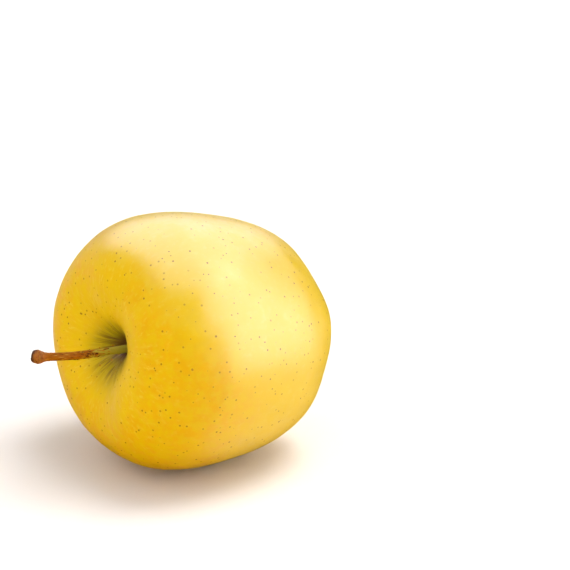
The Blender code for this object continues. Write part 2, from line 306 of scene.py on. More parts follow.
def skin_reach(radius, theta, phi):
    """Distance from the middle of the core to the skin, as in the part's solid."""
    girth = math.sin(theta)
    side = (
        1
        + STRETCH * math.cos(2 * theta)
        + PEAR_SHAPE * math.cos(3 * theta)
        + SQUARE_SHOULDERS * math.cos(4 * theta)
    )
    lean = LOPSIDED * math.cos(phi - LOPSIDED_AT) * math.sin(theta / 2 + math.pi / 8) * girth
    oval = OVAL * math.cos(2 * (phi - OVAL_AT)) * girth**2
    three = THREE_SIDED * math.cos(3 * (phi - THREE_SIDED_AT)) * girth**2
    rib = rib_wave(phi)
    crown = CROWN_RIB * bump(theta - CROWN_THETA, CROWN_SPREAD, 2)
    ribs = rib * (CHEEK_RIB * girth**2 + crown)
    dish = DISH_DEPTH * bump(theta, DISH_SPREAD * hollow_pleats(phi), 2)
    funnel = FUNNEL_DEPTH * bump(theta, FUNNEL_SPREAD, FUNNEL_FALL)
    hollow = dish + funnel + crease_depth(theta, phi)
    basin_spread = BASIN_SPREAD * (1 + BASIN_PLEAT * rib)
    basin = BASIN_DEPTH * bump(math.pi - theta, basin_spread, BASIN_FALL)
    return radius * (side + lean + oval + three + ribs - hollow - basin)


def skin_relief(theta, phi, point):
    """How far the fine relief raises the skin."""
    dimples = DIMPLE_HEIGHT * noise.noise(point / DIMPLE_WIDTH)
    fold = noise.turbulence(around(FOLDS_PER_RADIAN, phi, FOLD_DRIFT * theta), FOLD_OCTAVES, False)
    folds = FOLD_HEIGHT * fold * bump(theta, FOLD_THETA, FOLD_FALL)
    return dimples + folds * min(theta / FOLD_START, 1)


def stem_middle(settings, share):
    """A point of the stem's middle line, from 0 at its root to 1 at its free end."""
    sag = STEM_SAG * math.sin(math.pi * share**STEM_SAG_FALL)
    below = STEM_LOW * (1 - STEM_LIFT * share**2) + sag
    return Vector((-below, -STEM_SWAY * share**2, settings.root_z + settings.length * share))


def stem_radius(settings, share, phi):
    """Thick at the root, slim above the lip, with an uneven knob where it left the twig."""
    root = ROOT_SWELL * math.exp(-share / ROOT_SWELL_LENGTH)
    waist = WAIST * bump(share - WAIST_AT, WAIST_LENGTH, 2)
    knob = KNOB_SWELL * bump(1 - share, KNOB_LENGTH, 2)
    flare = KNOB_FLARE * math.cos(phi - KNOB_FLARE_AT) * bump(1 - share, KNOB_FLARE_LENGTH, 1)
    ridges = 1
    for count, height, twist in STEM_RIDGES:
        ridges += height * math.cos(count * phi + twist * share)
    return (settings.radius + root - waist + knob * (1 + flare)) * ridges


def bark_relief(settings, share, phi):
    """How far furrows and lumps raise or lower the bark."""
    along = settings.length * share
    furrow = noise.noise(around(settings.radius / FURROW_WIDTH, phi, along / FURROW_LENGTH))
    lump = noise.noise(around(settings.radius / LUMP_WIDTH, phi, along / LUMP_WIDTH))
    on_knob = LUMPS_OFF_KNOB + bump(1 - share, KNOB_LENGTH, 2)
    return FURROW_DEPTH * furrow + LUMP_HEIGHT * lump * on_knob


def stem_frame(settings, share):
    """Axes that follow the stem: its middle, and the turn from z to its direction there."""
    ahead, behind = min(share + SLOPE_STEP, 1), max(share - SLOPE_STEP, 0)
    along = stem_middle(settings, ahead) - stem_middle(settings, behind)
    return stem_middle(settings, share), along.to_track_quat("Z", "X").to_matrix()


def sepal_middle(settings, share, curl):
    """The middle line of a sepal, as distance out from the core and height in the basin."""
    outward = SEPAL_FOOT[0] + settings.sepal_out * curl * share**SEPAL_OUT_FALL
    upward = SEPAL_FOOT[1] + settings.sepal_rise * math.sin(SEPAL_BEND * share)
    return Vector((outward, upward))


def core_matrix(settings):
    """From the fruit's own axes, z along the core to the stem and x at the top, to the world."""
    cosine, sine = math.cos(settings.tilt), math.sin(settings.tilt)
    top = Vector((sine, 0, cosine))
    side = Vector((0, 1, 0))
    stem_end = Vector((-cosine, 0, sine))
    turn = Matrix((top, side, stem_end)).transposed().to_4x4()
    return Matrix.Translation(settings.centre) @ turn


def basin_matrix(settings):
    """From axes at the bottom of the basin, with z out of it, to the world."""
    bottom = Matrix.Translation((0, 0, -skin_reach(settings.radius, math.pi, 0)))
    return core_matrix(settings) @ bottom @ Matrix.Rotation(math.pi, 4, "X")


def close_rings(bm, rings, first_end, last_end):
    """A closed skin through rings of equally many points, with a point at each end."""
    rows = [[bm.verts.new(point) for point in ring] for ring in rings]
    start, end = bm.verts.new(first_end), bm.verts.new(last_end)
    count = len(rows[0])
    for i in range(count):
        j = (i + 1) % count
        bm.faces.new((start, rows[0][i], rows[0][j]))
        bm.faces.new((end, rows[-1][j], rows[-1][i]))
    for row, next_row in zip(rows, rows[1:]):
        for i in range(count):
            j = (i + 1) % count
            bm.faces.new((row[i], next_row[i], next_row[j], row[j]))
    bmesh.ops.recalc_face_normals(bm, faces=bm.faces)


def join_blade(bm, upper, lower):
    """Closes two matching grids of points into a thin blade."""
    steps, across = len(upper) - 1, len(upper[0]) - 1
    rows = [[[bm.verts.new(point) for point in row] for row in grid] for grid in (upper, lower)]
    for grid in rows:
        for i in range(steps):
            for j in range(across):
                bm.faces.new((grid[i][j], grid[i + 1][j], grid[i + 1][j + 1], grid[i][j + 1]))
    top, bottom = rows
    for i in range(steps):
        for j in (0, across):
            bm.faces.new((top[i][j], top[i + 1][j], bottom[i + 1][j], bottom[i][j]))
    for j in range(across):
        for i in (0, steps):
            bm.faces.new((top[i][j], top[i][j + 1], bottom[i][j + 1], bottom[i][j]))
    bmesh.ops.recalc_face_normals(bm, faces=bm.faces)


def finished_piece(name, bm, material):
    """An object made of the bmesh, shaded smooth, in the scene."""
    mesh = bpy.data.meshes.new(name)
    bm.to_mesh(mesh)
    bm.free()
    mesh.shade_smooth()
    mesh.materials.append(material)
    piece = bpy.data.objects.new(name, mesh)
    bpy.context.scene.collection.objects.link(piece)
    return piece


# Materials


def add_node(tree, kind, settings=None, inputs=None):
    """Adds a node, sets its settings, and fills or links its inputs."""
    made = tree.nodes.new(kind)
    for name, value in (settings or {}).items():
        setattr(made, name, value)
    for name, value in (inputs or {}).items():
        if isinstance(value, bpy.types.NodeSocket):
            tree.links.new(value, made.inputs[name])
        else:
            made.inputs[name].default_value = value
    return made


def new_material(name):
    """An empty material with its node tree and Principled shader."""
    material = bpy.data.materials.new(name)
    material.use_nodes = True
    return material, material.node_tree, material.node_tree.nodes["Principled BSDF"]


# Kinds of nodes with their settings, as add_node takes them
NOISE = ("ShaderNodeTexNoise", {})
FADE = ("ShaderNodeMapRange", {"interpolation_type": "SMOOTHSTEP"})
BLEND = ("ShaderNodeMix", {"data_type": "RGBA"})
AXES = ("ShaderNodeSeparateXYZ", {})
TIMES = ("ShaderNodeMath", {"operation": "MULTIPLY"})
PLUS = ("ShaderNodeMath", {"operation": "ADD"})
MINUS = ("ShaderNodeMath", {"operation": "SUBTRACT"})
TIMES_PLUS = ("ShaderNodeMath", {"operation": "MULTIPLY_ADD"})
LARGER = ("ShaderNodeMath", {"operation": "MAXIMUM"})
DISTANCE = ("ShaderNodeVectorMath", {"operation": "LENGTH"})

# Lemon skin, in millimetres: how far up the core its less ripe blotches reach, how far their edge
# fades, and how much further it reaches on the upper cheek, as painted highlight that pales the top
BLOTCH_REACH = 40.0
LESS_RIPE = {"From Min": 0.0, "From Max": 22.0}
TOP_SHEEN_LEMON = {"From Min": 0.0, "From Max": 30.0, "To Max": 24.0}

# The pale rim, in millimetres along the skin from the stem, and the strokes on it
RIM = {"From Min": 27.0, "From Max": 16.0, "To Max": 0.60}
NEAR_RIM = {"From Min": 40.0, "From Max": 22.0, "To Min": 0.22, "To Max": 0.65}
PALE_STROKE = {"From Min": 0.50, "From Max": 0.75}
STREAK_STRENGTH, FLECK_STRENGTH = 0.45, 1.0

MOTTLE_STRENGTH = 0.75
MOTTLED = {"From Min": 0.36, "From Max": 0.64, "To Max": MOTTLE_STRENGTH}

# The hollow, in millimetres up the core and out from it, with each colour's place in the streaks.
# For each millimetre down the wall, its colours reach LOW_SIDE further out
STEM_HALF = {"From Min": 5.0, "From Max": 12.0}
LOW_SIDE = 0.22
SHADED = {"From Min": 13.0, "From Max": 3.0}
DEEP = {"From Min": 10.0, "From Max": 3.5}
# Russet all over the bottom of the hollow: partly real russet, partly painted shade of the deep recess
BOTTOM_SHADE = {"From Min": 5.6, "From Max": 2.2}
UNEVEN = {"From Min": 0.3, "From Max": 0.7, "To Min": 0.65}
CORKY = {"From Min": 0.58, "From Max": 0.42}
# Pale grey flecks on the wall of the hollow: bloom, and also painted highlight on its folds
BLOOMY = {"From Min": 0.56, "From Max": 0.70}
BLOOM_STRENGTH = 0.22

# A pore's dot and the pale ring round it, from edge to full, as shares of its radius
DOT_EDGE, DOT_FULL, FAINTEST_DOT = 1.15, 0.7, 0.35
RING_EDGE, RING_FULL, RING_STRENGTH = 1.9, 1.1, 0.12

# How much rougher or smoother the wax is than its mean, and how rough cork is
WAX_UNEVEN, CORK_ROUGHNESS = 0.07, 0.70


def fruit_place(tree, fruit):
    """The place in millimetres in the fruit's own axes, as core_matrix has them."""
    core = core_matrix(fruit)
    world = add_node(tree, "ShaderNodeTexCoord").outputs["Object"]
    turned = {
        "Vector": world,
        "Location": core.translation,
        "Rotation": core.to_euler(),
        "Scale": (MILLIMETRE, MILLIMETRE, MILLIMETRE),
    }
    return add_node(tree, "ShaderNodeMapping", {"vector_type": "TEXTURE"}, turned).outputs[0]


def lemon_and_top_sheen_share(tree, settings, place, axes):
    """Share of lemon skin: less ripe blotches, more at the calyx, and painted highlight on the upper
    cheek.
    """
    scale = MILLIMETRE / settings.blotch_size
    blotch = add_node(tree, *NOISE, {"Vector": place, "Scale": scale, "Detail": 2.0}).outputs[0]
    reach = add_node(tree, *TIMES, {0: blotch, 1: BLOTCH_REACH}).outputs[0]
    within = add_node(tree, *MINUS, {0: reach, 1: axes["Z"]}).outputs[0]
    # Painted highlight: the lemon reaches further up the upper cheek, where the gloss falls, to pale
    # the top
    cheek = add_node(tree, *FADE, {"Value": axes["X"], **TOP_SHEEN_LEMON}).outputs[0]
    within = add_node(tree, *PLUS, {0: within, 1: cheek}).outputs[0]
    return add_node(tree, *FADE, {"Value": within, **LESS_RIPE}).outputs[0]


def streaks_and_flecks(tree, settings, flat, meridian):
    """Noise drawn out along the skin from the stem: in long streaks, and in short flecks."""
    spoke = add_node(tree, "ShaderNodeVectorMath", {"operation": "NORMALIZE"}, {0: flat}).outputs[0]
    strokes = []
    for per_radian, length in (
        (settings.streaks, settings.streak_length),
        (settings.flecks, settings.fleck_length),
    ):
        along = add_node(tree, *TIMES, {0: meridian, 1: MILLIMETRE / length}).outputs[0]
        along = add_node(tree, "ShaderNodeCombineXYZ", {}, {"Z": along}).outputs[0]
        drawn = add_node(
            tree,
            "ShaderNodeVectorMath",
            {"operation": "MULTIPLY_ADD"},
            {0: spoke, 1: (per_radian, per_radian, per_radian), 2: along},
        ).outputs[0]
        stroke = add_node(tree, *NOISE, {"Vector": drawn, "Scale": 1.0, "Detail": 3.0})
        strokes.append(stroke.outputs[0])
    return strokes


def pale_shares(tree, meridian, streak, fleck):
    """Shares of pale skin in the streaks and in the flecks, most of it at the rim."""
    near_rim = add_node(tree, *FADE, {"Value": meridian, **NEAR_RIM}).outputs[0]
    shares = []
    for stroke, strength in ((streak, STREAK_STRENGTH), (fleck, FLECK_STRENGTH)):
        pale = add_node(tree, *FADE, {"Value": stroke, **PALE_STROKE}).outputs[0]
        pale = add_node(tree, *TIMES, {0: pale, 1: near_rim}).outputs[0]
        shares.append(add_node(tree, *TIMES, {0: pale, 1: strength}).outputs[0])
    return shares


def hollow_shares(tree, axes, ring, streak, fleck):
    """Shares of olive skin in the hollow, of russet in streaks and all over its bottom, where it is
    also painted shade of the deep recess, and of pale grey flecks, which are also painted
    highlight on the folds of its wall. They reach further out on the lower side of the hollow."""
    stem_half = add_node(tree, *FADE, {"Value": axes["Z"], **STEM_HALF}).outputs[0]
    reach = add_node(tree, *TIMES_PLUS, {0: axes["X"], 1: LOW_SIDE, 2: ring}).outputs[0]
    zones = []
    for zone in (SHADED, DEEP):
        share = add_node(tree, *FADE, {"Value": reach, **zone}).outputs[0]
        zones.append(add_node(tree, *TIMES, {0: share, 1: stem_half}).outputs[0])
    shaded, deep = zones
    uneven = add_node(tree, *FADE, {"Value": streak, **UNEVEN}).outputs[0]
    shaded = add_node(tree, *TIMES, {0: shaded, 1: uneven}).outputs[0]

    corky = add_node(tree, *FADE, {"Value": streak, **CORKY}).outputs[0]
    # Painted shade: russet over the whole bottom of the hollow darkens the deep recess
    bottom = add_node(tree, *FADE, {"Value": reach, **BOTTOM_SHADE}).outputs[0]
    corky = add_node(tree, *LARGER, {0: corky, 1: bottom}).outputs[0]
    corky = add_node(tree, *TIMES, {0: deep, 1: corky}).outputs[0]

    # Painted highlight: pale grey flecks stand in for glints on the folds of the hollow's wall
    bloom_and_highlight = add_node(tree, *FADE, {"Value": fleck, **BLOOMY}).outputs[0]
    bloom_and_highlight = add_node(tree, *TIMES, {0: deep, 1: bloom_and_highlight}).outputs[0]
    bloom_and_highlight = add_node(tree, *TIMES, {0: bloom_and_highlight, 1: BLOOM_STRENGTH}).outputs[0]
    return shaded, corky, bloom_and_highlight


def pore_shares(tree, settings, place):
    """Shares of the pores' dots, of the pale rings round them, and of the cork that shows, which
    is fainter in some pores than in others."""
    cell = settings.pore_spacing / MILLIMETRE
    radius = settings.pore_radius / settings.pore_spacing
    pores = add_node(
        tree, "ShaderNodeTexVoronoi", {"feature": "F1"}, {"Vector": place, "Scale": 1 / cell}
    ).outputs
    discs = []
    for edge, full in ((RING_EDGE, RING_FULL), (DOT_EDGE, DOT_FULL)):
        fade = {"From Min": edge * radius, "From Max": full * radius}
        discs.append(add_node(tree, *FADE, {"Value": pores["Distance"], **fade}).outputs[0])
    ring, dot = discs
    ring = add_node(tree, *MINUS, {0: ring, 1: dot}).outputs[0]
    ring = add_node(tree, *TIMES, {0: ring, 1: RING_STRENGTH}).outputs[0]
    draw = add_node(tree, "ShaderNodeSeparateColor", {}, {0: pores["Color"]}).outputs[0]
    strength = add_node(
        tree, "ShaderNodeMapRange", {}, {"Value": draw, "To Min": FAINTEST_DOT}
    ).outputs[0]
    cork = add_node(tree, *TIMES, {0: dot, 1: strength}).outputs[0]
    return dot, ring, cork


def skin_material(settings):
    """Apple peel: cells of yellow skin under natural wax, which gives a broad soft gloss.

    The yellow is uneven in wide blotches and fine mottling, and lemon on the upper cheek is painted
    highlight that pales the top. Skin that the stem shaded stays olive, with corky russet streaks;
    russet over the bottom of the hollow is also painted shade, and pale grey flecks on its wall are
    also painted highlight. Corky pores dot the whole skin.
    """
    material, tree, shader = new_material("waxed apple peel")
    place = fruit_place(tree, settings)
    axes = add_node(tree, *AXES, {0: place}).outputs
    # How far the place is from the core, and how far along the skin from the stem
    flat = add_node(tree, "ShaderNodeCombineXYZ", {}, {"X": axes["X"], "Y": axes["Y"]}).outputs[0]
    ring = add_node(tree, *DISTANCE, {0: flat}).outputs["Value"]
    angle = add_node(
        tree, "ShaderNodeMath", {"operation": "ARCTAN2"}, {0: ring, 1: axes["Z"]}
    ).outputs[0]
    meridian = add_node(tree, *TIMES, {0: angle, 1: settings.radius / MILLIMETRE}).outputs[0]

    streak, fleck = streaks_and_flecks(tree, settings, flat, meridian)
    pale_streak, pale_fleck = pale_shares(tree, meridian, streak, fleck)
    shaded, corky, bloom_and_highlight = hollow_shares(tree, axes, ring, streak, fleck)
    dot, pale_ring, cork = pore_shares(tree, settings, place)
    rim = add_node(tree, *FADE, {"Value": meridian, **RIM}).outputs[0]
    scale = MILLIMETRE / settings.mottle_size
    mottle = add_node(
        tree, *NOISE, {"Vector": place, "Scale": scale, "Detail": 5.0, "Roughness": 0.62}
    ).outputs[0]
    mottle = add_node(tree, *FADE, {"Value": mottle, **MOTTLED}).outputs[0]

    peel = (*settings.golden, 1)
    for share, colour in (
        (lemon_and_top_sheen_share(tree, settings, place, axes), settings.lemon),
        (rim, settings.cream),
        (pale_streak, settings.halo),
        (pale_fleck, settings.halo),
        (mottle, settings.lemon),
        (shaded, settings.olive),
        # Russet streaks, and painted shade over the bottom of the hollow
        (corky, settings.russet),
        # Pale grey flecks: bloom, and also painted highlight on the folds
        (bloom_and_highlight, settings.bloom_and_highlight),
        (pale_ring, settings.halo),
        (cork, settings.pore),
    ):
        peel = add_node(tree, *BLEND, {0: share, 6: peel, 7: (*colour, 1)}).outputs[2]
    tree.links.new(peel, shader.inputs["Base Color"])

    # Wax is smooth, and the cork of a pore breaks through it
    smooth, matt = settings.roughness - WAX_UNEVEN, settings.roughness + WAX_UNEVEN
    wax = add_node(
        tree,
        "ShaderNodeMapRange",
        {},
        {"Value": mottle, "From Max": MOTTLE_STRENGTH, "To Min": smooth, "To Max": matt},
    ).outputs[0]
    rough = add_node(
        tree, "ShaderNodeMix", {"data_type": "FLOAT"}, {0: dot, 2: wax, 3: CORK_ROUGHNESS}
    ).outputs[0]
    tree.links.new(rough, shader.inputs["Roughness"])
    shader.inputs["Specular IOR Level"].default_value = 0.85
    return material


# Fibres of the bark, about 0.45 mm wide and 2.2 mm long, and spots of about 0.6 mm
FIBRES_PER_MM, SPOTS_PER_MM = (2.2, 2.2, 0.45), 1.6
PALE_FIBRE = {"From Min": 0.52, "From Max": 0.72}
DARK_FIBRE = {"From Min": 0.46, "From Max": 0.30}
WORN_SPOT = {"From Min": 0.52, "From Max": 0.66, "To Max": 0.6}
CRACK = {"From Min": 0.46, "From Max": 0.34, "To Max": 0.7}

# The stem's green part and its end, in millimetres from the middle of its end, along it and across
YOUNG = {"From Min": -4.7, "From Max": -7.7}
YOUNG_RAGGED = 26.0
NEAR_END = {"From Min": -3.5, "From Max": -0.5, "To Max": 0.8}
AT_END = {"From Min": -1.3, "From Max": -0.5}
SCAR_SIDE = {"From Min": -0.6, "From Max": 1.2, "To Min": 0.10}
SCAR_EDGE = {"From Min": 2.3, "From Max": 3.1}
SCAR_FLATNESS, SCAR_RAGGED = (1, 1, 1.6), 3.2


def stem_material(settings, fruit):
    """Fruit stem: dry bark with worn pale ridges over dark furrows, green where it is younger,
    and near black where it broke from the twig. Dry bark scatters light, with hardly any gloss."""
    material, tree, shader = new_material("dry stem bark")
    place = fruit_place(tree, fruit)
    stretched = add_node(
        tree, "ShaderNodeMapping", {}, {"Vector": place, "Scale": FIBRES_PER_MM}
    ).outputs[0]
    fibre = add_node(tree, *NOISE, {"Vector": stretched, "Scale": 1.0, "Detail": 4.0}).outputs[0]
    spots = add_node(tree, *NOISE, {"Vector": place, "Scale": SPOTS_PER_MM, "Detail": 3.0}).outputs[0]
    pale = add_node(tree, *FADE, {"Value": fibre, **PALE_FIBRE}).outputs[0]
    dark = add_node(tree, *FADE, {"Value": fibre, **DARK_FIBRE}).outputs[0]

    # Green and younger towards the root, with a ragged edge
    tip = stem_middle(settings, 1) / MILLIMETRE
    from_tip = add_node(
        tree, "ShaderNodeVectorMath", {"operation": "SUBTRACT"}, {0: place, 1: tip}
    ).outputs[0]
    axes = add_node(tree, *AXES, {0: from_tip}).outputs
    ragged = add_node(tree, *TIMES_PLUS, {0: fibre, 1: YOUNG_RAGGED, 2: axes["Z"]}).outputs[0]
    young = add_node(tree, *FADE, {"Value": ragged, **YOUNG}).outputs[0]

    # Dark round the end where it broke from the twig, mostly on one side, and in cracks there
    edge = add_node(
        tree, "ShaderNodeVectorMath", {"operation": "MULTIPLY"}, {0: from_tip, 1: SCAR_FLATNESS}
    ).outputs[0]
    edge = add_node(tree, *DISTANCE, {0: edge}).outputs["Value"]
    edge = add_node(tree, *TIMES_PLUS, {0: spots, 1: SCAR_RAGGED, 2: edge}).outputs[0]
    broken = add_node(tree, *FADE, {"Value": edge, **SCAR_EDGE}).outputs[0]
    at_end = add_node(tree, *FADE, {"Value": axes["Z"], **AT_END}).outputs[0]
    side = add_node(tree, *FADE, {"Value": axes["Y"], **SCAR_SIDE}).outputs[0]
    for part in (at_end, side):
        broken = add_node(tree, *TIMES, {0: broken, 1: part}).outputs[0]
    cracks = add_node(tree, *FADE, {"Value": spots, **CRACK}).outputs[0]
    cracks = add_node(tree, *TIMES, {0: cracks, 1: at_end}).outputs[0]
    broken = add_node(tree, *LARGER, {0: broken, 1: cracks}).outputs[0]

    near_end = add_node(tree, *FADE, {"Value": axes["Z"], **NEAR_END}).outputs[0]
    worn = add_node(tree, *FADE, {"Value": spots, **WORN_SPOT}).outputs[0]
    worn = add_node(tree, *TIMES, {0: worn, 1: near_end}).outputs[0]

    bark = (*settings.bark, 1)
    for share, colour in (
        (pale, settings.pale_bark),
        (dark, settings.dark_bark),
        (young, settings.green),
        (near_end, settings.scar),
        (worn, settings.pale_bark),
        (broken, settings.dark_bark),
    ):
        bark = add_node(tree, *BLEND, {0: share, 6: bark, 7: (*colour, 1)}).outputs[2]
    tree.links.new(bark, shader.inputs["Base Color"])

    rise = add_node(
        tree, "ShaderNodeBump", {}, {"Strength": 0.5, "Distance": 0.0001, "Height": fibre}
    ).outputs[0]
    tree.links.new(rise, shader.inputs["Normal"])
    shader.inputs["Roughness"].default_value = 0.62
    shader.inputs["Specular IOR Level"].default_value = 0.08
    return material


WORN_FLAKE = {"From Min": 0.42, "From Max": 0.62}


def flake_material(settings):
    """Old bark that lifts from the stem: dead brown cork with paler worn patches, and matt."""
    material, tree, shader = new_material("flaking old bark")
    place = add_node(tree, "ShaderNodeTexCoord").outputs["Object"]
    scale = 1 / settings.flake_patch
    worn = add_node(tree, *NOISE, {"Vector": place, "Scale": scale, "Detail": 3.0}).outputs[0]
    worn = add_node(tree, *FADE, {"Value": worn, **WORN_FLAKE}).outputs[0]
    dark, pale = (*settings.dark_bark, 1), (*settings.pale_bark, 1)
    cork = add_node(tree, *BLEND, {0: worn, 6: dark, 7: pale}).outputs[2]
    tree.links.new(cork, shader.inputs["Base Color"])
    shader.inputs["Roughness"].default_value = 0.8
    shader.inputs["Specular IOR Level"].default_value = 0.08
    return material


# Patches of down on the sepals, about 0.8 mm wide, and their fluff
DOWN_PATCHES_PER_MM, FLUFF_PER_MM = 1.3, 7.0
DOWNY = {"From Min": 0.42, "From Max": 0.66}


def calyx_material(settings, fruit):
    """Dried sepals and stamens: brown papery tissue under grey down, which scatters light softly."""
    material, tree, shader = new_material("dried downy sepal")
    place = fruit_place(tree, fruit)
    patches, fluff = (
        add_node(tree, *NOISE, {"Vector": place, "Scale": scale, "Detail": detail}).outputs[0]
        for scale, detail in ((DOWN_PATCHES_PER_MM, 4.0), (FLUFF_PER_MM, 2.0))
    )
    downy = add_node(tree, *FADE, {"Value": patches, **DOWNY}).outputs[0]
    husk, down = (*settings.husk, 1), (*settings.down, 1)
    tissue = add_node(tree, *BLEND, {0: downy, 6: husk, 7: down}).outputs[2]
    tree.links.new(tissue, shader.inputs["Base Color"])
    rise = add_node(
        tree, "ShaderNodeBump", {}, {"Strength": 0.6, "Distance": 0.0001, "Height": fluff}
    ).outputs[0]
    tree.links.new(rise, shader.inputs["Normal"])
    shader.inputs["Roughness"].default_value = 0.9
    shader.inputs["Sheen Weight"].default_value = 0.25
    shader.inputs["Sheen Roughness"].default_value = 0.5
    return material


# Operators


class FRUIT_OT_add_skin(Operator):
    """Adds the fruit with its fine waxed skin"""

    bl_idname = "fruit.add_skin"
    bl_label = "Add Fruit Skin"

    def execute(self, context):
        settings = context.scene.fruit_skin
        core = core_matrix(settings)

        def skin_point(theta, phi):
            outward = around(math.sin(theta), phi, math.cos(theta))
            point = outward * skin_reach(settings.radius, theta, phi)
            point = core @ (point + outward * skin_relief(theta, phi, point))
            point.z = max(point.z, 0)
            return point

        grid = []
        for ring in range(1, settings.rings):
            share = ring / settings.rings
            crowd = END_CROWDING * math.sin(2 * math.pi * share) / (2 * math.pi)
            theta = math.pi * (share - crowd)
            turns = (2 * math.pi * i / settings.segments for i in range(settings.segments))
            grid.append([skin_point(theta, phi) for phi in turns])
        bm = bmesh.new()
        close_rings(bm, grid, skin_point(0, 0), skin_point(math.pi, 0))
        piece = finished_piece("fruit_skin", bm, skin_material(settings))
        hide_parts("fruit")
        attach(piece, "root")
        return {"FINISHED"}


class FRUIT_OT_add_stem(Operator):
    """Adds the woody stem and the flakes of old bark on it"""

    bl_idname = "fruit.add_stem"
    bl_label = "Add Stem"

    def execute(self, context):
        settings = context.scene.fruit_stem
        core = core_matrix(context.scene.fruit_skin)
        bark = stem_material(settings, context.scene.fruit_skin)
        self.add_bark(settings, core, bark)
        self.add_flakes(settings, core)
        return {"FINISHED"}

    def add_bark(self, settings, core, bark):
        """The stem with its furrows, and with lumps on its knob."""
        grid = []
        for step in range(settings.rings + 1):
            share = 1 - (1 - step / settings.rings) ** STEM_CROWDING
            middle, turn = stem_frame(settings, share)
            row = []
            for side in range(settings.sides):
                phi = 2 * math.pi * side / settings.sides
                radius = stem_radius(settings, share, phi) + bark_relief(settings, share, phi)
                row.append(middle + turn @ around(radius, phi))
            grid.append(row)
        rise = Vector((0, 0, END_DOME))
        bm = bmesh.new()
        close_rings(bm, grid, stem_middle(settings, 0) - rise, stem_middle(settings, 1) + rise)
        bmesh.ops.transform(bm, matrix=core, verts=bm.verts)
        piece = finished_piece("stem_bark", bm, bark)
        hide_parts("stem")
        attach(piece, "root")

    def add_flakes(self, settings, core):
        draw = random.Random(FLAKE_SEED)
        bm = bmesh.new()
        for flake in range(settings.flakes):
            self.add_flake(bm, settings, draw)
        bmesh.ops.transform(bm, matrix=core, verts=bm.verts)
        piece = finished_piece("stem_flakes", bm, flake_material(settings))
        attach(piece, "root")

    def add_flake(self, bm, settings, draw):
        """A thin curved scale that lies along the stem and lifts at one end."""
        start = draw.uniform(FLAKES_FROM, FLAKES_TO)
        facing = draw.uniform(0, 2 * math.pi)
        size = draw.uniform(FLAKE_SMALLEST, FLAKE_LARGEST)
        lifts = draw.choice((1, -1))
        grids = []
        for thickness in (FLAKE_THICKNESS, -FLAKE_THICKNESS):
            grid = []
            for step in range(FLAKE_STEPS + 1):
                share = step / FLAKE_STEPS
                along = start + size * FLAKE_LENGTH * share / settings.length
                middle, turn = stem_frame(settings, along)
                end = share if lifts > 0 else 1 - share
                taper = math.sin(math.pi * (FLAKE_BLUNTNESS + (1 - 2 * FLAKE_BLUNTNESS) * share))
                row = []
                for column in range(FLAKE_ACROSS + 1):
                    side = 2 * column / FLAKE_ACROSS - 1
                    phi = facing + side * FLAKE_WIDTH / 2 * size * taper / settings.radius
                    out = stem_radius(settings, along, phi) + thickness / 2
                    out += FLAKE_LIFT * size * end**2 * (1 - FLAKE_CURL * side**2)
                    row.append(middle + turn @ around(out, phi))
                grid.append(row)
            grids.append(grid)
        join_blade(bm, *grids)


